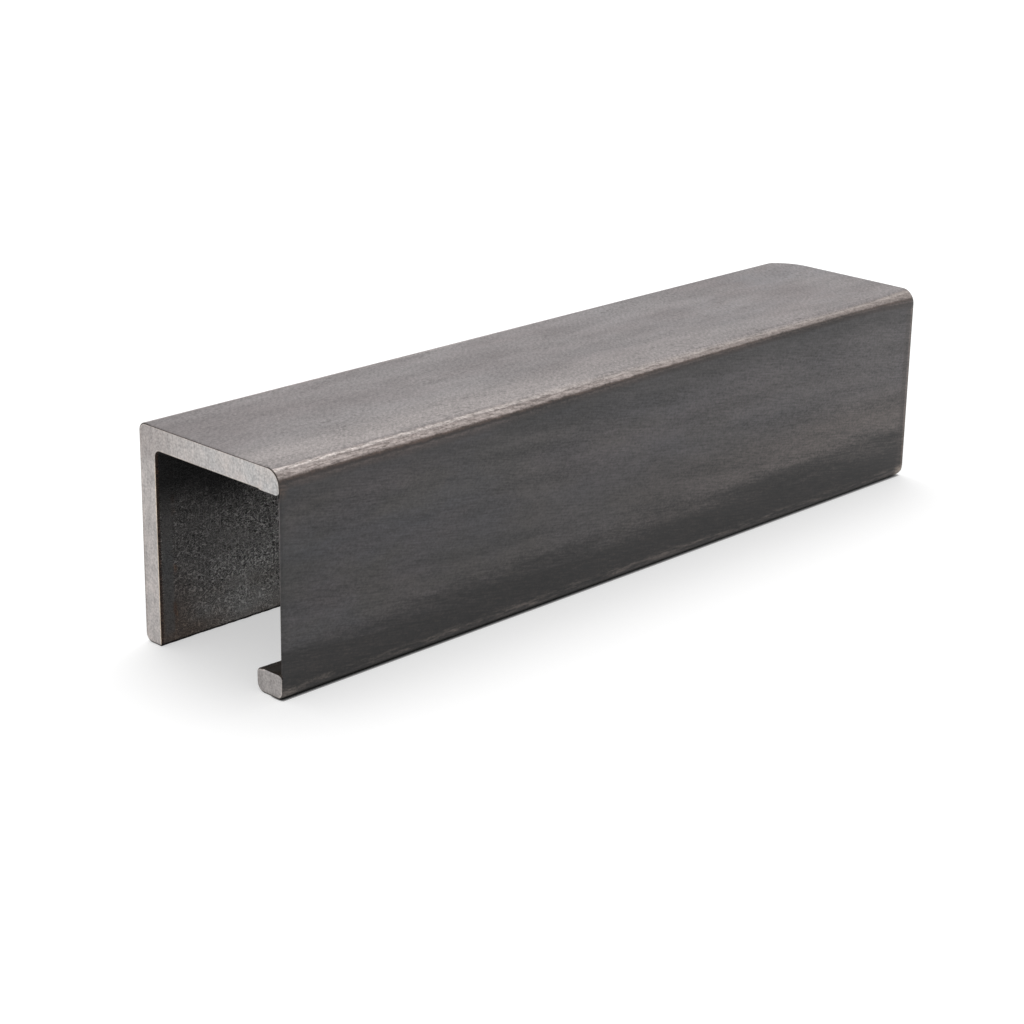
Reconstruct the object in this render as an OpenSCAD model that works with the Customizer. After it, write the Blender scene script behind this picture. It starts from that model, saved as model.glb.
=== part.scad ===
// Lipped C-channel, a cut length of rolled steel section.
// The web lies on top and both flanges point down. One flange is plain; the other turns in to a
// thick lip at its toe. Millimetres, +Z up, the length runs along X, and the origin is at the
// middle of the footprint. The lipped flange is on the -Y side.

/* [Section] */
// Overall width across the two flanges
channel_w = 50; // [36:1:90]
// Overall height from the toes to the web's outer face
channel_h = 55; // [30:1:100]
// Thickness of the web
web_t = 6; // [5:0.5:10]
// Thickness of both flanges
flange_t = 6; // [5:0.5:9]
// Thickness of the lip at the toe of the lipped flange
lip_t = 6; // [5:0.5:10]
// How far the lip's nose stands in past the flange's inner face
lip_reach = 3; // [2:0.5:10]

/* [Rolled corners] */
// Radius of the outer corner between the web and the lipped flange
outer_r = 4; // [1:0.5:4.5]
// Radius of the outer corner between the web and the plain flange
plain_outer_r = 2.2; // [0.6:0.1:4.5]
// Radius of the outer corner between the lipped flange and its lip
heel_r = 2; // [0.5:0.5:3]
// Radius of the fillets inside the channel
root_r = 1.5; // [0.5:0.25:3]
// Radius of the plain flange's toe, on its outer side
toe_outer_r = 2.2; // [0.5:0.1:3]
// Radius of the plain flange's toe, on its inner side
toe_inner_r = 0.6; // [0.2:0.1:1.5]
// Radius of the lip's nose where it meets the underside
nose_bottom_r = 2.4; // [0.5:0.1:3]
// Radius of the lip's nose where it meets the lip's upper face
nose_top_r = 1.4; // [0.5:0.1:1.8]

/* [Cut length] */
// Length from end to end
length = 235; // [60:1:600]
// Angle of the inside bevel on the lipped flange's -X end, from the square-cut plane
bevel_angle = 45; // [35:1:60]
// Flat edge that the bevel leaves at the flange's outer face
bevel_land = 0.4; // [0.2:0.1:2]
// Radius of the eased upright corner at the plain flange's +X end
eased_r = 11.5; // [2:0.5:16]
// Radius of the lipped flange's lower corner at the +X end
end_toe_r = 3; // [0.5:0.5:5]

/* [Hidden] */
$fn = 96;
steel = "#5b5957";
// Overshoot that carries every cutter clear of the face it opens
over = 1;
half_w = channel_w / 2;
half_l = length / 2;
flange_inner = half_w - flange_t;
web_under = channel_h - web_t;
nose_y = -flange_inner + lip_reach;
bevel_depth = (flange_t - bevel_land) * tan(bevel_angle);

// The sliver between a square corner at the origin and its rounding of radius r, with both faces
// running along +X and +Y. It reaches "past" beyond the corner, so that it cuts or joins cleanly.
module corner_sliver(r, past) {
    difference() {
        translate([-past, -past])
            square(r + past);
        translate([r, r])
            circle(r);
    }
}

// A corner sliver moved to a point, and turned so that its faces run along dir's two signs.
module corner_at(point, dir, r, past = over) {
    translate(point)
        mirror([dir[0] < 0 ? 1 : 0, 0])
            mirror([0, dir[1] < 0 ? 1 : 0])
                corner_sliver(r, past);
}

// Everything that the outer faces enclose: the width and height of the stock.
module section_blank() {
    difference() {
        translate([-half_w, 0])
            square([channel_w, channel_h]);
        corner_at([-half_w, channel_h], [1, -1], outer_r);
        corner_at([half_w, channel_h], [-1, -1], plain_outer_r);
        corner_at([-half_w, 0], [1, 1], heel_r);
        corner_at([half_w, 0], [-1, 1], toe_outer_r);
    }
}

// The hollow between the flanges, above the lip, with its three rolled fillets.
module section_hollow() {
    difference() {
        translate([-flange_inner, lip_t])
            square([2 * flange_inner, web_under - lip_t]);
        corner_at([-flange_inner, web_under], [1, -1], root_r);
        corner_at([flange_inner, web_under], [-1, -1], root_r);
        corner_at([-flange_inner, lip_t], [1, 1], root_r);
    }
}

// The open mouth between the lip's nose and the plain flange, with the rounded nose and toe.
module section_mouth() {
    translate([nose_y, -over])
        square([flange_inner - nose_y, lip_t + root_r + over]);
    corner_at([nose_y, 0], [-1, 1], nose_bottom_r);
    corner_at([nose_y, lip_t], [-1, -1], nose_top_r, root_r);
    corner_at([flange_inner, 0], [1, 1], toe_inner_r);
}

module section() {
    difference() {
        section_blank();
        section_hollow();
        section_mouth();
    }
}

// What the inside bevel takes off the lipped flange's end, between the lip and the web.
module bevel_cut() {
    outer_y = -half_w + bevel_land;
    reach_y = -flange_inner + root_r;
    translate([0, 0, lip_t])
        linear_extrude(web_under - lip_t)
            polygon([
                [-half_l - over, outer_y],
                [-half_l, outer_y],
                [-half_l + bevel_depth, -flange_inner],
                [-half_l + bevel_depth, reach_y],
                [-half_l - over, reach_y],
            ]);
}

// What the eased corner takes off the plain flange's other end, over the full height.
module eased_corner_cut() {
    translate([0, 0, -over])
        linear_extrude(channel_h + 2 * over)
            corner_at([half_l, half_w], [-1, -1], eased_r);
}

// What rounding the lipped flange's lower corner takes off that end, through the lip as well.
module end_toe_cut() {
    translate([0, nose_y + over, 0])
        rotate([90, 0, 0])
            linear_extrude(half_w + nose_y + 2 * over)
                corner_at([half_l, 0], [-1, 1], end_toe_r);
}

module channel() {
    color(steel)
        difference() {
            translate([-half_l, 0, 0])
                rotate([90, 0, 90])
                    linear_extrude(length)
                        section();
            bevel_cut();
            eased_corner_cut();
            end_toe_cut();
        }
}

channel();
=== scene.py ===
import math

import bpy
import numpy as np
from mathutils import Matrix, Vector, noise


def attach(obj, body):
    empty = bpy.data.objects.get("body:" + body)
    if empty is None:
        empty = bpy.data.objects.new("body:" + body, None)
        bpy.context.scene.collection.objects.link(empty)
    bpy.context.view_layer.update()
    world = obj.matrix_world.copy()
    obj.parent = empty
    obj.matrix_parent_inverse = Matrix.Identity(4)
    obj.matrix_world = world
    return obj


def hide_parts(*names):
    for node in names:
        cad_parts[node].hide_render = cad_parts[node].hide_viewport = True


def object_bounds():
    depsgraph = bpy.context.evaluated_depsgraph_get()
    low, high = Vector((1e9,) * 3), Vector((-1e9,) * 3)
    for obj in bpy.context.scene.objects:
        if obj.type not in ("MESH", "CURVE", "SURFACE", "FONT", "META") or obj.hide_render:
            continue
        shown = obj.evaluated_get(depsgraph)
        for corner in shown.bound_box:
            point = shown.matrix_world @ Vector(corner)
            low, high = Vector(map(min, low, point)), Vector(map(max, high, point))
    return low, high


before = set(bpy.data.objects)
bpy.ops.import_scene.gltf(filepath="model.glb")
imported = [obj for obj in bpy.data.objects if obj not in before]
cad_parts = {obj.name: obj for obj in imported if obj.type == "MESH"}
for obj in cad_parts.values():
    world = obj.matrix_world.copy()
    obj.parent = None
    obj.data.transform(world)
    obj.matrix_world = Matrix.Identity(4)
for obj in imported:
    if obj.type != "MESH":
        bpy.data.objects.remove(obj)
cad_low, cad_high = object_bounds()


# ------------------------------------------------------------------ The rolled channel
# One length of mild steel, rolled hot through shaped rolls and left as it cooled. The web is on top,
# the plain flange stands at +Y, and the flange at -Y turns in to a thick lip at its toe.
# Drawn in millimetres, from the outside faces inwards, and made into a mesh in metres.

MM = 0.001
half_length = cad_high.x / MM
half_width = cad_high.y / MM
height = cad_high.z / MM
wall = 6.0
lip_reach = 3.0
outer_radius, plain_outer_radius = 4.0, 2.2
root_radius = 1.5
heel_radius = 2.0
nose_low_radius, nose_high_radius = 2.4, 1.4
toe_outer_radius, toe_inner_radius = 2.2, 0.6
eased_radius = 11.5
end_toe_radius = 3.0
arris = 0.22          # the small break that a file leaves along a sawn edge
# Shares of the wall at which a sawn face is divided, close at its rims, where the scale shows as a line.
through_wall = np.array([0, 0.05, 0.13, 0.25, 0.4, 0.6, 0.75, 0.87, 0.95, 1])
cells_through_wall = len(through_wall) - 1

inner_face = half_width - wall
web_under = height - wall
nose_y = -inner_face + lip_reach


def corner(centre_y, centre_z, radius, start, end, steps):
    """Points (y, z) round a rolled corner, from one angle to another, in degrees."""
    angles = np.radians(np.linspace(start, end, steps + 1))
    return np.column_stack([centre_y + radius * np.cos(angles), centre_z + radius * np.sin(angles)])


def flat(start, end, steps):
    """Points (y, z) along a flat side."""
    return np.linspace(start, end, steps + 1)


def section_sides():
    """The outside and the inside of the section, from the lip's nose to the plain flange's toe.

    Both have the same number of points, so that point i of one faces point i of the other through
    the steel."""
    inner_centre_z = web_under - root_radius
    inner_centre_y = inner_face - root_radius
    near_y, near_z = -half_width + outer_radius, height - outer_radius
    far_y, far_z = half_width - plain_outer_radius, height - plain_outer_radius
    toe_y = half_width - toe_outer_radius
    stretches = [
        (corner(nose_y - nose_low_radius, nose_low_radius, nose_low_radius, 0, -90, 6),
         corner(nose_y - nose_high_radius, wall - nose_high_radius, nose_high_radius, 0, 90, 6)),
        (flat((nose_y - nose_low_radius, 0), (-half_width + heel_radius, 0), 4),
         flat((nose_y - nose_high_radius, wall), (-inner_centre_y, wall), 4)),
        (corner(-half_width + heel_radius, heel_radius, heel_radius, -90, -180, 6),
         corner(-inner_centre_y, wall + root_radius, root_radius, -90, -180, 6)),
        (flat((-half_width, heel_radius), (-half_width, near_z), 42),
         flat((-inner_face, wall + root_radius), (-inner_face, inner_centre_z), 42)),
        (corner(near_y, near_z, outer_radius, 180, 90, 14),
         corner(-inner_centre_y, inner_centre_z, root_radius, 180, 90, 14)),
        (flat((near_y, height), (far_y, height), 36),
         flat((-inner_centre_y, web_under), (inner_centre_y, web_under), 36)),
        (corner(far_y, far_z, plain_outer_radius, 90, 0, 8),
         corner(inner_centre_y, inner_centre_z, root_radius, 90, 0, 8)),
        (flat((half_width, far_z), (half_width, toe_outer_radius), 48),
         flat((inner_face, inner_centre_z), (inner_face, toe_inner_radius), 48)),
        (corner(toe_y, toe_outer_radius, toe_outer_radius, 0, -90, 6),
         corner(inner_face + toe_inner_radius, toe_inner_radius, toe_inner_radius, 180, 270, 6)),
    ]
    outside = np.vstack([stretches[0][0][:1]] + [outer[1:] for outer, _ in stretches])
    inside = np.vstack([stretches[0][1][:1]] + [inner[1:] for _, inner in stretches])
    return outside, inside


outside, inside = section_sides()
last = len(outside) - 1
through = through_wall[1:-1, None]
toe_face = outside[last] + through * (inside[last] - outside[last])
nose_face = inside[0] + through * (outside[0] - inside[0])
ring = np.vstack([outside, toe_face, inside[::-1], nose_face])
ring_size = len(ring)
first_inside = last + cells_through_wall

# The outward direction at each point of the ring, square to the line between its neighbours.
along = np.roll(ring, -1, axis=0) - np.roll(ring, 1, axis=0)
outward = np.column_stack([-along[:, 1], along[:, 0]])
outward /= np.linalg.norm(outward, axis=1, keepdims=True)

# How far each point of the ring lies from the middle of the nearer web corner, round the skin:
# over 0 on the web, under 0 on a flange. Points inside the channel count as far from both.
drawn_in = 1 - math.sqrt(0.5)    # how far a rounding's middle lies in from its square corner, in radii
near_middle = np.array([-half_width + drawn_in * outer_radius, height - drawn_in * outer_radius])
far_middle = np.array([half_width - drawn_in * plain_outer_radius, height - drawn_in * plain_outer_radius])
walked = np.concatenate([[0], np.cumsum(np.linalg.norm(np.diff(outside, axis=0), axis=1))])
past_near = walked - walked[np.argmin(np.linalg.norm(outside - near_middle, axis=1))]
past_far = walked[np.argmin(np.linalg.norm(outside - far_middle, axis=1))] - walked
from_corner = np.full(ring_size, -half_width)
from_corner[:last + 1] = np.minimum(past_near, past_far)


def far_end(y, z):
    """Where the length ends at +X: square, but eased round the plain flange and the lip's toe."""
    end = half_length
    if y > half_width - eased_radius:
        across = y - (half_width - eased_radius)
        end = min(end, half_length - eased_radius + math.sqrt(max(0, eased_radius**2 - across**2)))
    if z < end_toe_radius and y < 0:
        down = end_toe_radius - z
        end = min(end, half_length - end_toe_radius + math.sqrt(max(0, end_toe_radius**2 - down**2)))
    return end


def turned(y, out_y):
    """The share of a sawn edge's break that is left where the far end runs round into the skin."""
    across = max(0, y - (half_width - eased_radius)) / eased_radius
    return 1 - max(0, across * out_y)


def stations():
    """Shares of the length at which the section is repeated, twice as close at the end that shows inside."""
    steps = np.linspace(0.62, 1.3, 236)
    places = np.concatenate([[0], np.cumsum(steps)])
    return places / places[-1]


sway_depth, crinkle_depth, dent_depth = 0.04, 0.08, 0.012
crinkle_size = 2.6
calm_end = 4.0        # over this far from an end the crinkle dies away
dented_reach = 2.0    # how far the dents spread to each side of a web corner


def relief(x, y, z, on_inside, corner_gap):
    """How far the rolled skin lies below the true surface, in millimetres."""
    sway = sway_depth * (1 + noise.noise(Vector((x / 60, y / 25, z / 25))))
    if on_inside:
        crinkle = noise.ridged_multi_fractal(Vector((x, y, z)) / crinkle_size, 1.0, 2.1, 3, 1.0, 2.0)
        from_ends = min(1.0, (half_length - abs(x)) / calm_end)
        return sway + crinkle_depth * from_ends * min(crinkle, 2.0)
    dents = max(0.0, noise.noise(Vector((x / 6, y / 1.2, z / 1.2))))
    return sway + dent_depth * dents * max(0.0, 1 - abs(corner_gap) / dented_reach)


# Each repeat of the section: its share of the length, its distance from the end, and how far it is
# drawn in at a sawn edge.
breaks = [(0, 0, arris), (0, 0.35 * arris, 0.35 * arris), (0, arris, 0)]
repeats = breaks + [(share, 0, 0) for share in stations()[1:-1]]
repeats += [(1, -back, inset) for _, back, inset in reversed(breaks)]

vertices = []
for share, back, inset in repeats:
    for index, ((y, z), (out_y, out_z)) in enumerate(zip(ring, outward)):
        end = far_end(y, z)
        near = -half_length + arris * (0 < share < 1)
        x = near + share * (end - near) + back
        on_inside = first_inside <= index <= first_inside + last
        depth = relief(x, y, z, on_inside, from_corner[index]) + inset * (turned(y, out_y) if share else 1)
        vertices.append((x, y - depth * out_y, z - depth * out_z))

faces, kinds = [], []
SKIN, HOLLOW, SAWN, GROUND = range(4)
for row in range(len(repeats) - 1):
    for index in range(ring_size):
        after = (index + 1) % ring_size
        start = row * ring_size
        faces.append((start + index, start + after,
                      start + ring_size + after, start + ring_size + index))
        in_hollow = first_inside <= index < first_inside + last
        kinds.append(HOLLOW if in_hollow else SKIN)


def close_end(first_of_ring, flip):
    """The sawn face that closes an end, as cells through the wall from the outside to the inside."""
    corners = [Vector(vertices[first_of_ring + index]) for index in range(ring_size)]
    first_new = len(vertices)
    for row in range(1, last):
        for cell in range(1, cells_through_wall):
            outer, inner = corners[row], corners[2 * last + cells_through_wall - row]
            spot = outer.lerp(inner, through_wall[cell])
            if spot.x > 0:
                spot.x = far_end(spot.y, spot.z)
            vertices.append(tuple(spot))

    def number(row, cell):
        if cell == 0:
            return first_of_ring + row
        if cell == cells_through_wall:
            return first_of_ring + 2 * last + cells_through_wall - row
        if row == last:
            return first_of_ring + last + cell
        if row == 0:
            return first_of_ring + 2 * last + 2 * cells_through_wall - cell
        return first_new + (row - 1) * (cells_through_wall - 1) + cell - 1

    for row in range(last):
        for cell in range(cells_through_wall):
            face = (number(row, cell), number(row, cell + 1),
                    number(row + 1, cell + 1), number(row + 1, cell))
            faces.append(face[::-1] if flip else face)
            kinds.append(SAWN)


close_end(0, False)
close_end((len(repeats) - 1) * ring_size, True)

mesh = bpy.data.meshes.new("lipped_channel")
mesh.from_pydata((np.array(vertices) * MM).tolist(), [], faces)
mesh.polygons.foreach_set("material_index", kinds)
mesh.shade_smooth()

# The rims are the outlines of the two sawn faces, where the scale shows as a thin dark line.
rim = np.zeros(len(vertices), np.float32)
rim[:ring_size] = 1
rim[(len(repeats) - 1) * ring_size:len(repeats) * ring_size] = 1
mesh.attributes.new("rim", "FLOAT", "POINT").data.foreach_set("value", rim)
corner_gap = np.full(len(vertices), -half_width, np.float32)
corner_gap[:len(repeats) * ring_size] = np.tile(from_corner, len(repeats))
mesh.attributes.new("from_corner", "FLOAT", "POINT").data.foreach_set("value", corner_gap)

# For baking, the skin is unrolled onto a sheet in millimetres, length across and girth up, with the
# two sawn faces beside it.
girth = np.concatenate([[0], np.cumsum(np.linalg.norm(np.roll(ring, -1, axis=0) - ring, axis=1))])
margin, gutter = 1, 4
sheet = girth[-1] + gutter
column = 2 * half_length + gutter


def unrolled(places, numbers):
    """Where a face's corners lie on the sheet."""
    rows = numbers // ring_size
    if rows.max() < len(repeats) and len(set(rows)) == 2:
        columns = numbers % ring_size
        wraps = columns.max() - columns.min() > 1
        lengthwise = margin + half_length + places[:, 0]
        around = margin + girth[np.where(wraps & (columns == 0), ring_size, columns)]
        return np.column_stack([lengthwise, around])
    lift = margin if places[0, 0] < 0 else height + gutter
    return np.column_stack([column + half_width + places[:, 1], lift + places[:, 2]])


numbers = np.array(faces)
flat_map = np.vstack([unrolled(np.array([vertices[n] for n in face]), face) for face in numbers]) / sheet
mesh.uv_layers.new(name="OFBake").uv.foreach_set("vector", flat_map.astype(np.float32).ravel())

channel = bpy.data.objects.new("lipped_channel", mesh)
bpy.context.scene.collection.objects.link(channel)


def linear(hex_colour):
    """An sRGB hex colour as the linear RGBA that a shader takes."""
    parts = [int(hex_colour[i:i + 2], 16) / 255 for i in (1, 3, 5)]
    return [p / 12.92 if p <= 0.04045 else ((p + 0.055) / 1.055) ** 2.4 for p in parts] + [1]


def add(tree, kind, inputs=None, stops=(), **settings):
    """Adds a node. inputs are values, or the sockets or nodes to link; stops are a ramp's colours."""
    made = tree.nodes.new("ShaderNode" + kind)
    for name, value in settings.items():
        setattr(made, name, value)
    for name, value in (inputs or {}).items():
        if isinstance(value, bpy.types.Node):
            value = next(socket for socket in value.outputs if socket.enabled)
        if isinstance(value, bpy.types.NodeSocket):
            tree.links.new(value, made.inputs[name])
        else:
            made.inputs[name].default_value = value
    for place, colour in stops[2:]:
        made.color_ramp.elements.new(place)
    for stop, (place, colour) in zip(made.color_ramp.elements if stops else (), sorted(stops)):
        stop.position, stop.color = place, linear(colour)
    return made


def bare_material(name):
    """A new material's node tree with its shader, and the place on the piece in millimetres."""
    material = bpy.data.materials.new(name)
    material.use_nodes = True
    tree = material.node_tree
    here = add(tree, "TexCoord")
    place = add(tree, "VectorMath", {0: here.outputs["Object"], "Scale": 1 / MM}, operation="SCALE")
    return material, tree, tree.nodes["Principled BSDF"], place


def mottle(tree, place, size, low, high, detail=2.0, roughness=0.5):
    """A field of 0 to 1 in soft patches of a size in mm along x, y and z; low and high set its contrast."""
    spread = add(tree, "VectorMath", {0: place, 1: size}, operation="DIVIDE")
    patches = add(tree, "TexNoise", {
        "Vector": spread,
        "Scale": 1.0,
        "Detail": detail,
        "Roughness": roughness,
    })
    return add(tree, "MapRange", {0: patches, 1: low, 2: high})


def strip(tree, value, up=None, down=None):
    """A share that rises smoothly over the span up and falls over the span down, where they are given."""
    slopes = [
        add(tree, "MapRange", {0: value, 1: span[0], 2: span[1], 3: before, 4: after},
            interpolation_type="SMOOTHSTEP")
        for span, before, after in ((up, 0, 1), (down, 1, 0)) if span
    ]
    if len(slopes) == 1:
        return slopes[0]
    return add(tree, "Math", {0: slopes[0], 1: slopes[1]}, operation="MULTIPLY")


def surfaced(tree, shader, colour, tone, rough, depth):
    """Joins a colour and its tone, a roughness and a relief in millimetres to a material's shader."""
    toned = add(tree, "HueSaturation", {"Value": tone, "Color": colour})
    bump = add(tree, "Bump", {"Height": depth, "Distance": MM, "Strength": 1.0})
    tree.links.new(toned.outputs[0], shader.inputs["Base Color"])
    tree.links.new(rough.outputs[0], shader.inputs["Roughness"])
    tree.links.new(bump.outputs[0], shader.inputs["Normal"])


def coated(tree, ground, coats):
    """A colour with others laid over it, each as strongly as the product of its shares."""
    colour = ground
    for coat, *shares in coats:
        strength = shares[0]
        for share in shares[1:]:
            strength = add(tree, "Math", {0: strength, 1: share}, operation="MULTIPLY")
        coat = linear(coat) if isinstance(coat, str) else coat
        colour = add(tree, "Mix", {0: strength, 6: colour, 7: coat}, data_type="RGBA")
    return colour


def weighed(tree, base, parts):
    """A sum: a base value and each part times its weight."""
    total = base
    for part, weight in parts:
        total = add(tree, "Math", {0: part, 1: weight, 2: total}, operation="MULTIPLY_ADD")
    return total


# The rolled skin is mill scale: the blue-grey oxide that hot rolling leaves, half matt, drawn out in
# faint streaks and browner where it has begun to rust. Along the web's corners it is rubbed through to
# bright steel, pitted in rows, with a painted highlight along the crest and a brown line below.
def rolled_scale():
    material, tree, shader, place = bare_material("hot_rolled_mill_scale")
    x, y, z = add(tree, "SeparateXYZ", {0: place}).outputs
    clouds = mottle(tree, place, (50, 22, 18), 0.38, 0.62, 5, 0.6)
    tints = mottle(tree, place, (28, 12, 12), 0.42, 0.62, 4, 0.6)
    drift = mottle(tree, place, (60, 6, 5), 0.36, 0.64, 5, 0.6)
    swept = add(tree, "Mapping", {"Vector": place, "Rotation": (0, math.radians(-5), 0)})
    bands = mottle(tree, swept, (34, 7, 4.2), 0.38, 0.62, 4, 0.6)
    slanted = add(tree, "Mapping", {"Vector": place, "Rotation": (0, math.radians(-11), 0)})
    strokes = mottle(tree, slanted, (5, 1, 0.45), 0.34, 0.66, 3, 0.6)
    raked = add(tree, "Mapping", {"Vector": place, "Rotation": (0, 0, math.radians(-46))})
    rakes = mottle(tree, raked, (2.2, 0.7, 1), 0.34, 0.66, 3, 0.6)
    grain = mottle(tree, place, (0.75, 0.6, 0.55), 0.32, 0.68, 3, 0.7)
    along = strip(tree, x, (-half_length, half_length))

    # The flanges, from the heel up: a black line where they meet the ground, which is painted shade; a paler
    # line above it, a painted reflection on the heel's rounding, broken in patches and brightest at the near
    # end; then a band darker towards the bottom. The bevelled edge is stained too.
    low_edge = weighed(tree, z, [(drift, 2.5), (bands, 1.5), (strokes, 1.5), (grain, 1.5), (along, -0.9)])
    low_dark = strip(tree, low_edge, down=(11.5, 20))
    heel_painted_reflection = strip(tree, z, (1.0, 1.8), (2.5, 3.8))
    heel_end_reflection = strip(tree, z, (0.5, 1.2), (2.0, 2.8))
    near_end = strip(tree, x, down=(-half_length + 1.5, -half_length + 8))
    scuffs = mottle(tree, place, (8, 1.2, 1.0), 0.44, 0.62, 3, 0.6)
    lower_warm = strip(tree, z, (6, 11), (21, 31))
    waist = strip(tree, z, (12, 18), (25, 34))
    midspan = strip(tree, x, (-100, -60), (10, 70))
    painted_shoulder_shade = strip(tree, z, (height - 12, height - 4))
    upper = strip(tree, z, (24, 34))
    painted_contact_shade = strip(tree, weighed(tree, z, [(along, 0.4)]), down=(0.30, 0.85))
    stained = strip(tree, x, down=(-half_length + 0.7, -half_length + 2.2))
    stain_top = add(tree, "Math", {
        0: strip(tree, x, down=(-half_length + 0.5, -half_length + 3)),
        1: strip(tree, z, (47, 50)),
    }, operation="MULTIPLY")
    colour = coated(tree, linear("#2f2f33"), [
        ("#3b3637", clouds, 0.8),
        ("#33302b", tints, 0.5),
        # Lighter towards the far end: a painted reflection of the pale room, seen more at a grazing angle.
        ("#4d494a", along, 0.7),
        ("#4f4640", along, lower_warm, 0.45),
        ("#1a1a1b", waist, midspan, 0.25),
        ("#0f0e0f", low_dark, 0.95),
        ("#322c29", low_dark, strokes, grain, 0.7),
        # Darker high on the flanks under the web's corner, most at the near end: painted shade.
        ("#201f20", painted_shoulder_shade, 0.5),
        ("#1c1b1c", painted_shoulder_shade, near_end, 0.4),
        # A paler line over the heel: a painted reflection on its rounding, strongest at the near end.
        ("#534c48", heel_painted_reflection, scuffs, 0.75),
        ("#6a625d", heel_end_reflection, near_end, 0.8),
        ("#201f20", stained, clouds, 0.7),
        ("#4a3a30", stain_top, 0.6),
        # Black along the bottom edge: painted shade where the steel meets the ground.
        ("#080707", painted_contact_shade),
    ])

    # How far round the skin it is to the web's corner. The count runs faster where the rubbed band is
    # narrower, short of the square end, and wavers a little.
    narrow = strip(tree, x, (55 - half_length, 175 - half_length), (205 - half_length, 245 - half_length))
    narrowing = add(tree, "MapRange", {0: narrow, 3: 1, 4: 1.95})
    gap = add(tree, "Attribute", attribute_name="from_corner").outputs["Fac"]
    gap = add(tree, "Math", {0: gap, 1: narrowing, 2: -0.18}, operation="MULTIPLY_ADD")
    gap = weighed(tree, gap, [(mottle(tree, place, (16, 6, 6), 0.25, 0.75), 0.12),
                              (mottle(tree, place, (7, 2, 2), 0.25, 0.75), 0.06),
                              (mottle(tree, place, (2.2, 0.7, 0.7), 0.32, 0.68, 3, 0.6), 0.36)])

    # The web, paler beside the rubbed corner, with small pits towards the bevelled end.
    on_web = strip(tree, gap, (1.5, 2.6))
    beside = strip(tree, y, down=(4 - half_width, 20 - half_width))
    paler = strip(tree, x, down=(-half_length, half_length))
    cool = strip(tree, x, (-10, 90))
    pits = mottle(tree, place, (1.1, 0.8, 0.7), 0.52, 0.68, 2)
    pitted = mottle(tree, place, (16, 6, 6), 0.46, 0.62, 3)
    colour = coated(tree, colour, [
        ("#696262", on_web),
        ("#757070", on_web, clouds),
        ("#706f72", on_web, cool, tints, 0.5),
        ("#9a928f", on_web, beside, paler, 0.85),
        ("#7e7776", on_web, beside, 0.5),
        ("#4d4746", on_web, pits, pitted, 0.7),
    ])

    # The corner between: rubbed bright and pitted in rows, with a crest towards the web that is a painted
    # highlight, a brown line at its foot and a faint light one below that. It dulls towards the square end.
    bend = add(tree, "MapRange", {0: gap, 1: -2, 2: 3})
    # Rubbed steel round the corner; the pale stops towards the web are a painted highlight along the crest.
    rubbed_band_crest_highlight = add(tree, "ValToRGB", {0: bend}, stops=[
        (0.0, "#170f0d"), (0.13, "#4a3c36"), (0.25, "#9f9591"), (0.38, "#aba19d"), (0.51, "#8e8582"),
        (0.585, "#b0a8a4"), (0.67, "#aaa29e"), (0.755, "#7b7371"), (0.92, "#6d6665"),
    ])
    rows = mottle(tree, place, (2.6, 0.36, 0.36), 0.46, 0.60, 3, 0.7)
    smoother = add(tree, "MapRange", {0: along, 3: 0.62, 4: 0.34})
    crest_highlight_painted = strip(tree, gap, (0.7, 1.4), (2.6, 3.4))
    midway = strip(tree, x, (-60, -25), (60, 110))
    lower_half = strip(tree, gap, (-1.6, -1.0), (-0.4, 0.6))
    on_corner = strip(tree, gap, (-2.6, -1.9), (2.0, 2.8))
    bright = strip(tree, gap, (-1.5, -0.6), (1.5, 2.1))
    light_line = strip(tree, gap, (-3.3, -2.7), (-2.5, -2.1))
    foot = strip(tree, gap, (-4.5, -3), (-2.2, -1.0))
    soft_foot = strip(tree, gap, (-3.0, -2.2), (-1.6, -0.9))
    far_foot = strip(tree, gap, (-5.0, -3.8), (-2.9, -2.2))
    end_rim = strip(tree, x, down=(-half_length + 0.12, -half_length + 0.24))
    inset_x = add(tree, "Math", {0: x, 1: half_length}, operation="ADD")
    edge_line = strip(tree, inset_x, (0.22, 0.40), (0.55, 0.85))
    round_corner = strip(tree, gap, (-5, -4), (3, 4))
    outline = strip(tree, add(tree, "Attribute", attribute_name="rim").outputs["Fac"], (0.2, 0.9))
    on_flank = strip(tree, gap, down=(-5, -4))
    far_edge_highlight = strip(tree, x, (half_length - 1.5, half_length - 0.8), (half_length - 0.3, half_length))
    end_shade = strip(tree, x, (half_length - 4, half_length - 2.5), (half_length - 1.6, half_length - 1.0))
    end_toe = add(tree, "Math", {
        0: strip(tree, x, (half_length - 5, half_length - 1.5)),
        1: strip(tree, z, down=(2.0, 4.0)),
    }, operation="MULTIPLY")
    colour = coated(tree, colour, [
        ("#4a4341", light_line, 0.6),
        (rubbed_band_crest_highlight, on_corner),
        ("#382d29", foot, drift, 0.6),
        ("#2c2523", far_foot, along, 0.8),
        ("#5f544f", soft_foot, along, 0.35),
        ("#5a4f4b", bright, rows, smoother),
        # A painted highlight that carries the crest's pale line further along the middle.
        ("#9f9794", crest_highlight_painted, midway, 0.55),
        ("#6f6866", lower_half, along, along, 0.62),
        ("#857b75", bright, along, along, 0.42),
        # Near the far end of the flanks: a painted shade strip, a painted highlight along the upright edge
        # and a tan painted highlight at the toe's corner.
        ("#383230", end_shade, on_flank, 0.6),
        ("#6f6259", far_edge_highlight, on_flank, 0.45),
        ("#94887d", end_toe, on_flank, 0.6),
        ("#2a2220", outline),
        ("#2e2621", end_rim, round_corner, 0.9),
        ("#4b4848", outline, on_flank),
        ("#686565", outline, on_flank, upper),
        ("#1b1a1b", edge_line, on_flank, upper, 0.6),
    ])
    flank_grain = weighed(tree, -0.07, [(bands, 0.54), (strokes, 0.60), (grain, 1.00)])
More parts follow.
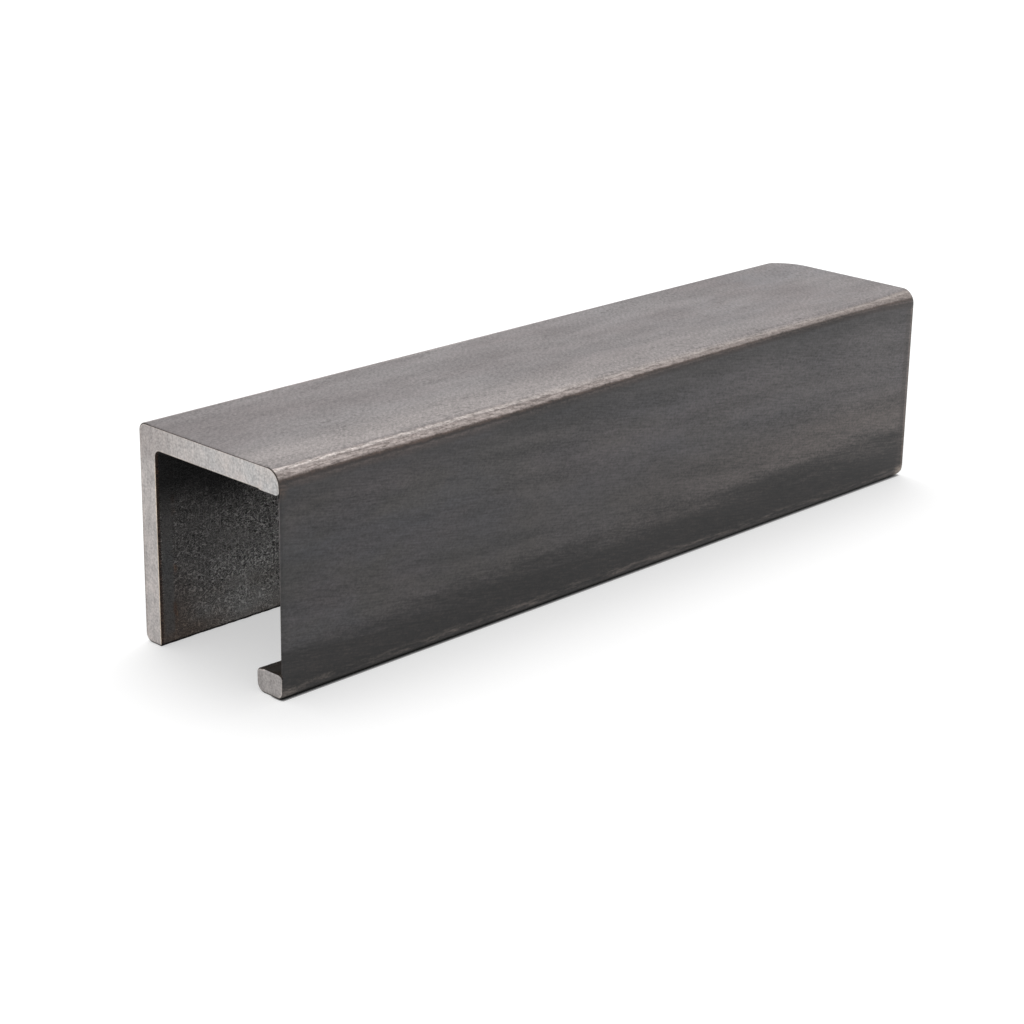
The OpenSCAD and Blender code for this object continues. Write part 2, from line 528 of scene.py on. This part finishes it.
    web_grain = weighed(tree, 0.36, [(bands, 0.24), (rakes, 0.38), (grain, 0.68)])
    tone = add(tree, "Mix", {0: on_web, 2: flank_grain, 3: web_grain})
    corner_grain = weighed(tree, 0.50, [(bands, 0.10), (strokes, 0.46), (grain, 0.60)])
    tone = add(tree, "Mix", {0: bright, 2: tone, 3: corner_grain})

    # Gloss: the flanges keep a dull sheen, the web is more matt and the rubbed corner brightest.
    rough = weighed(tree, 0.44, [(on_web, 0.08), (low_dark, 0.10), (bright, -0.10), (grain, 0.06)])
    metal = weighed(tree, 0.05, [(bright, 0.5)])
    tree.links.new(metal.outputs[0], shader.inputs["Metallic"])

    # Relief in millimetres: shallow streaks and grain, and deeper pits on the corner.
    pit_depth = add(tree, "Math", {0: bright, 1: rows}, operation="MULTIPLY")
    depth = weighed(tree, 0.0, [(strokes, 0.010), (grain, 0.012), (pit_depth, -0.012)])
    surfaced(tree, shader, colour, tone, rough, depth)
    return material


# Inside, the scale was never touched by a roll: it is rough and crinkled like leather, and browner towards
# the toe. It is painted almost black under the web, where the web's shadow falls, and painted lighter
# farther in from the open end and low down, where it stands for light.
def crinkled_scale():
    material, tree, shader, place = bare_material("crinkled_mill_scale")
    x, y, z = add(tree, "SeparateXYZ", {0: place}).outputs
    clouds = mottle(tree, place, (16, 12, 12), 0.38, 0.64, 3)
    patches = mottle(tree, place, (12, 9, 9), 0.20, 0.50, 2)
    worms = mottle(tree, place, (1.05, 0.66, 0.70), 0, 1, 1.2, 0.5)
    creases = mottle(tree, place, (1.8, 1.3, 1.3), 0, 1, 1, 0.5)
    crests = strip(tree, worms, (0.45, 0.493), (0.507, 0.55))
    furrows = strip(tree, worms, (0.36, 0.40), (0.42, 0.46))
    folds = strip(tree, creases, (0.44, 0.49), (0.51, 0.56))
    pores = mottle(tree, place, (0.8, 0.7, 0.7), 0.52, 0.66, 1)
    grain = mottle(tree, place, (0.5, 0.4, 0.4), 0.32, 0.68, 2, 0.6)
    inward = -half_length
    painted_web_shadow = strip(tree, weighed(tree, z, [(clouds, 3.0)]), (27.5, 42.5))
    painted_inner_light = strip(tree, x, (inward, inward + 44))
    lower = strip(tree, z, down=(10, 22))
    by_toe = strip(tree, z, down=(5, 16))
    at_end = strip(tree, x, down=(inward + 0.45, inward + 1.0))
    smooth = strip(tree, x, (inward + 0.8, inward + 1.6), (inward + 3.8, inward + 4.6))
    toe_calm = add(tree, "MapRange", {0: z, 1: 0, 2: 15, 3: 0.5, 4: 1.0})
    blue = strip(tree, z, (1, 4), (23, 29))
    fold_edge = weighed(tree, x, [(mottle(tree, place, (20, 3, 3), 0.3, 0.7), 1.0)])
    fold = strip(tree, fold_edge, (inward + 4.0, inward + 4.7), (inward + 4.9, inward + 5.8))
    broken = mottle(tree, place, (20, 5, 5), 0.45, 0.60, 2)
    at_left = strip(tree, x, down=(inward + 4, inward + 16))
    painted_contact_shade = strip(tree, z, down=(0.60, 0.90))
    plain_side = strip(tree, y, (0, 1))
    colour = coated(tree, linear("#504e4d"), [
        # Lighter farther in from the open end and low down: painted light that evens out the hollow's shade.
        ("#8a8887", painted_inner_light, 0.85),
        ("#929190", painted_inner_light, lower, 0.8),
        ("#54483f", by_toe, clouds, 0.8),
        ("#463c36", lower, at_left, 0.5),
        ("#4a4c4d", smooth, blue, 0.5),
        ("#4f3c30", fold, broken, 0.85),
        # Painted shadow of the web over the inner faces.
        ("#050505", painted_web_shadow, 0.98),
        ("#2a1a11", at_end, plain_side, 0.9),
        # Black along the toe's bottom edge: painted shade where the steel meets the ground.
        ("#040404", painted_contact_shade, 0.95),
    ])
    crinkled = weighed(tree, 0.55, [
        (crests, 2.6),
        (furrows, -0.4),
        (folds, 0.6),
        (pores, -0.5),
        (grain, 0.5),
    ])
    even = weighed(tree, 0.76, [(folds, 0.2), (grain, 0.8)])
    rough_here = add(tree, "Math", {0: 1.0, 1: smooth}, operation="SUBTRACT")
    rough_here = add(tree, "Math", {0: rough_here, 1: patches}, operation="MULTIPLY")
    rough_here = add(tree, "Math", {0: rough_here, 1: toe_calm}, operation="MULTIPLY")
    tone = add(tree, "Mix", {0: rough_here, 2: even, 3: crinkled})
    rough = weighed(tree, 0.70, [(crests, -0.2), (painted_contact_shade, 0.3)])
    shader.inputs["Specular IOR Level"].default_value = 0.3
    depth = weighed(tree, 0.0, [(crests, 0.18), (folds, 0.10), (grain, 0.05)])
    surfaced(tree, shader, colour, tone, rough, depth)
    return material


# The ends were cut with a band saw: bare steel, pale and warm, with fine upright saw marks and the
# first tan rust along the plain flange's inner edge.
def sawn_steel():
    material, tree, shader, place = bare_material("band_sawn_steel")
    _, y, z = add(tree, "SeparateXYZ", {0: place}).outputs
    clouds = mottle(tree, place, (3, 3, 4), 0.38, 0.64, 4, 0.65)
    cool = mottle(tree, place, (8, 8, 12), 0.42, 0.60, 2)
    marks = mottle(tree, place, (1, 0.5, 6), 0.34, 0.66, 3)
    grain = mottle(tree, place, (0.6, 0.6, 0.6), 0.34, 0.66, 2, 0.6)
    rim = add(tree, "Attribute", attribute_name="rim").outputs["Fac"]
    outline = strip(tree, rim, (0.50, 0.95))
    cream = strip(tree, rim, (0.0, 0.25), (0.45, 0.65))
    web_top = strip(tree, z, (web_under + 1, web_under + 2))
    outer_side = strip(tree, y, (22, 24))
    outer_line = strip(tree, y, (half_width - 1.0, half_width - 0.3))
    low_down = strip(tree, z, down=(18, 46))
    toward_plain = strip(tree, y, (-half_width, half_width))
    over_plain = strip(tree, y, (8, 24))
    on_lip = strip(tree, z, down=(wall - 0.5, wall + 0.5))
    lip_side = strip(tree, y, down=(0, 1))
    rust = strip(tree, y, (inner_face - 0.4, inner_face), (inner_face + 0.15, inner_face + 0.6))
    below_web = strip(tree, z, down=(43, 47))
    web_end = strip(tree, z, (44, 49))
    land = strip(tree, z, (wall, wall + 0.5), (web_under - 0.5, web_under))
    at_land = strip(tree, y, down=(-24, -23))
    low_land = strip(tree, z, down=(14, 30))
    ragged = mottle(tree, place, (1, 1, 1.3), 0.42, 0.56, 2)
    foot = strip(tree, z, down=(0.25, 0.75))
    colour = coated(tree, linear("#bcbab9"), [
        ("#b4aba6", clouds, 0.6),
        ("#b3b4b5", cool, 0.3),
        ("#aba4a1", toward_plain, 0.7),
        ("#8f8886", over_plain, web_end, 0.5),
        ("#a7a2a0", on_lip, lip_side),
        ("#cfc6be", cream, 0.5),
        ("#b7ada6", outline, 0.6),
        ("#6e655f", outline, outer_side, 0.8),
        ("#5d544e", outline, on_lip, lip_side, 0.7),
        ("#857c76", outer_line, low_down, 0.6),
        ("#4b4038", outline, web_top),
        ("#ecd8bc", rust, below_web, 0.9),
        ("#4f4b4b", land, at_land),
        ("#262423", land, at_land, low_land, 0.5),
        ("#171514", land, at_land, low_land, ragged, 0.8),
        # Dark along the bottom edge: painted shade where the steel meets the ground.
        ("#2a241f", foot, 0.85),
    ])
    tone = weighed(tree, 0.60, [(clouds, 0.20), (marks, 0.20), (grain, 0.40)])
    rough = weighed(tree, 0.44, [(marks, 0.10)])
    shader.inputs["Metallic"].default_value = 0.7
    depth = weighed(tree, 0.0, [(marks, 0.010), (grain, 0.012)])
    surfaced(tree, shader, colour, tone, rough, depth)
    return material


# The bevel was ground with a coarse disc and has dulled since: grey steel in slanting scratches.
def ground_steel():
    material, tree, shader, place = bare_material("disc_ground_steel")
    slant = add(tree, "Mapping", {"Vector": place, "Rotation": (math.radians(12), 0, 0)})
    scratches = mottle(tree, slant, (8, 8, 0.4), 0.30, 0.70, 3)
    clouds = mottle(tree, place, (6, 6, 6), 0.40, 0.62, 2)
    colour = coated(tree, linear("#6a6663"), [("#5b4a3d", clouds, 0.5)])
    tone = weighed(tree, 0.80, [(scratches, 0.35)])
    rough = weighed(tree, 0.38, [(scratches, 0.15)])
    shader.inputs["Metallic"].default_value = 0.7
    depth = weighed(tree, 0.0, [(scratches, 0.03)])
    surfaced(tree, shader, colour, tone, rough, depth)
    return material


finishes = [rolled_scale(), crinkled_scale(), sawn_steel(), ground_steel()]
for finish in finishes:
    mesh.materials.append(finish)


# The lipped flange's near end is ground away from the inside, at 45 degrees, to a thin edge at its
# outer face. The disc also rounded off the web's and the lip's sawn faces where they meet that edge.

bevel_land = 0.4
ground_corner = 1.3     # radius of the two roundings
ground_depth = 0.35     # how far they reach in from the sawn face
left_outside = 0.12     # the skin that they leave standing at the outer face
slack = 1.0             # how far a cutter reaches past the steel
beside = 14             # between the two kinds of cut face on the sheet for baking


def prism(name, outline, lift, low, high, finish):
    """A closed prism over an outline, with lift() turning its flat points and a level into places."""
    count = len(outline)
    places = [lift(a, b, low) for a, b in outline] + [lift(a, b, high) for a, b in outline]
    sides = [(i, (i + 1) % count, count + (i + 1) % count, count + i) for i in range(count)]
    body = bpy.data.meshes.new(name)
    body.from_pydata((np.array(places) * MM).tolist(), [],
                     [tuple(reversed(range(count))), tuple(range(count, 2 * count))] + sides)
    body.attributes.new("rim", "FLOAT", "POINT")
    away = body.attributes.new("from_corner", "FLOAT", "POINT")
    away.data.foreach_set("value", np.full(2 * count, -half_width, np.float32))
    # On the sheet for baking, the cut faces lie above the two sawn ones.
    sheet_map = body.uv_layers.new(name="OFBake")
    for face in body.polygons:
        flat_axes = (0, 1) if abs(face.normal.z) > 0.5 else (1, 2)
        for corner_index in face.loop_indices:
            spot = body.vertices[body.loops[corner_index].vertex_index].co / MM
            along_sheet, up_sheet = spot[flat_axes[0]], spot[flat_axes[1]]
            if flat_axes == (0, 1):
                along_sheet, up_sheet = along_sheet + half_length + beside, up_sheet + half_width
            sheet_map.uv[corner_index].vector = ((column + half_width + along_sheet) / sheet,
                                                 (2 * height + 3 * gutter + up_sheet) / sheet)
    body.materials.append(finish)
    piece = bpy.data.objects.new(name, body)
    bpy.context.scene.collection.objects.link(piece)
    return piece


def cut_away(piece, cutter):
    """Cuts one solid out of another, leaves the cutter's finish there and throws the cutter away."""
    cut = piece.modifiers.new("cut", "BOOLEAN")
    cut.operation = "DIFFERENCE"
    cut.solver = "EXACT"
    cut.material_mode = "TRANSFER"
    cut.object = cutter
    bpy.context.view_layer.objects.active = piece
    bpy.ops.object.modifier_apply(modifier=cut.name)
    bpy.data.objects.remove(cutter)


land_y = -half_width + bevel_land
bevel_back = -half_length + (wall - bevel_land)
bevel_outline = [(-half_length - slack, land_y), (-half_length, land_y),
                 (bevel_back + slack, -inner_face + slack), (-half_length - slack, -inner_face + slack)]
cut_away(channel, prism("bevel", bevel_outline, lambda a, b, level: (a, b, level),
                        wall, web_under, finishes[GROUND]))
for up, edge_z in ((1, web_under), (-1, wall)):
    outer_y = -half_width + left_outside
    arc = corner(outer_y + ground_corner, edge_z + up * ground_corner, ground_corner,
                 -180 * up, -90 * up, 6)
    sliver = [tuple(point) for point in arc]
    past_z = edge_z - up * slack / 2
    sliver += [(outer_y + ground_corner, past_z), (outer_y, past_z)]
    if up > 0:
        sliver.reverse()
    cut_away(channel, prism("ground_corner", sliver, lambda a, b, level: (level, a, b),
                            -half_length - slack, -half_length + ground_depth, finishes[HOLLOW]))

mesh.set_sharp_from_angle(angle=math.radians(32))
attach(channel, "root")
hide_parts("channel")


# ------------------------------------------------------------------ Floor, light and camera
# White paper that glows a little, less near the bar than far from it, so that it turns quite white
# away from the bar's shade. Right under the bar's front edge the shade is closer and darker, most at
# the near end.

floor_mesh = bpy.data.meshes.new("floor")
reach = 6.0
floor_mesh.from_pydata([(-reach, -reach, 0), (reach, -reach, 0), (reach, reach, 0), (-reach, reach, 0)],
                       [], [(0, 1, 2, 3)])
floor = bpy.data.objects.new("floor", floor_mesh)
bpy.context.scene.collection.objects.link(floor)
paper = bpy.data.materials.new("white_paper")
paper.use_nodes = True
tree = paper.node_tree
tree.nodes.clear()
rays = add(tree, "LightPath").outputs
seen = add(tree, "Math", {0: rays["Is Camera Ray"], 1: rays["Is Glossy Ray"]}, operation="MAXIMUM")
here = add(tree, "TexCoord")
away = add(tree, "VectorMath", {0: here.outputs["Object"]}, operation="LENGTH").outputs["Value"]
near_glow, full_glow = 0.25, 1.2
fade = add(tree, "MapRange", {0: away, 1: near_glow, 2: full_glow, 3: 0.50, 4: 1.0})
share = add(tree, "MapRange", {0: seen, 3: 0.7, 4: 1.0})
close = add(tree, "AmbientOcclusion", {"Distance": 1.0 * MM}, samples=8).outputs["AO"]
onward, side, _ = add(tree, "SeparateXYZ", {0: here.outputs["Object"]}).outputs
in_front = add(tree, "MapRange", {
    0: side,
    1: (2.5 - half_width) * MM,
    2: (4.5 - half_width) * MM,
    3: 1.0,
    4: 0.0,
})
past_end = add(tree, "MapRange", {0: onward, 1: (-half_length - 0.5) * MM, 2: (-half_length + 0.3) * MM})
fading = add(tree, "MapRange", {0: onward, 1: -half_length * MM, 2: half_length * MM, 3: 2.6, 4: 1.7})
contrast = add(tree, "Math", {0: in_front, 1: past_end}, operation="MULTIPLY")
contrast = add(tree, "Math", {0: contrast, 1: fading}, operation="MULTIPLY")
closer = add(tree, "Math", {0: close, 1: contrast}, operation="POWER")
shaded = add(tree, "Math", {0: fade, 1: closer}, operation="MULTIPLY")
lift = add(tree, "Math", {0: share, 1: shaded}, operation="MULTIPLY")
white = add(tree, "Mix", {0: closer, 6: linear("#141414"), 7: linear("#cacaca")}, data_type="RGBA")
matt = add(tree, "BsdfDiffuse", {"Color": white})
glow = add(tree, "Emission", {"Color": linear("#ffffff"), "Strength": lift})
both = add(tree, "AddShader", {0: matt, 1: glow})
add(tree, "OutputMaterial", {"Surface": both})
floor_mesh.materials.append(paper)

# A white room, a little dimmer than it looks, and one soft lamp overhead.
world = bpy.data.worlds.new("studio")
bpy.context.scene.world = world
world.use_nodes = True
tree = world.node_tree
tree.nodes.clear()
rays = add(tree, "LightPath").outputs
seen = add(tree, "Math", {0: rays["Is Camera Ray"], 1: rays["Is Glossy Ray"]}, operation="MAXIMUM")
level = add(tree, "MapRange", {0: seen, 3: 0.72, 4: 1.0})
sky = add(tree, "Background", {"Color": linear("#ffffff"), "Strength": level})
add(tree, "OutputWorld", {"Surface": sky})

lamp_data = bpy.data.lights.new("overhead", "AREA")
lamp_data.shape = "SQUARE"
lamp_data.size = 0.8
lamp_data.energy = 6
lamp = bpy.data.objects.new("overhead", lamp_data)
lamp.location = (0.25, 0.35, 1.0)
lamp.rotation_euler = (-lamp.location).to_track_quat("-Z", "Y").to_euler()
bpy.context.scene.collection.objects.link(lamp)

# The camera stands a little above the bar and looks along it at 45 degrees, onto the near corner.
camera_data = bpy.data.cameras.new("camera")
camera_data.lens = 87.19
camera_data.sensor_width = 36
camera = bpy.data.objects.new("camera", camera_data)
bpy.context.scene.collection.objects.link(camera)
turn, dip, tilt = math.radians(45.811), math.radians(19.544), math.radians(0.930)
camera.matrix_world = (
    Matrix.Translation((-0.4499, -0.41925, 0.22855))
    @ Matrix.Rotation(-turn, 4, "Z")
    @ Matrix.Rotation(math.pi / 2 - dip, 4, "X")
    @ Matrix.Rotation(tilt, 4, "Z")
)
bpy.context.scene.camera = camera
bpy.context.scene.view_settings.view_transform = "Standard"
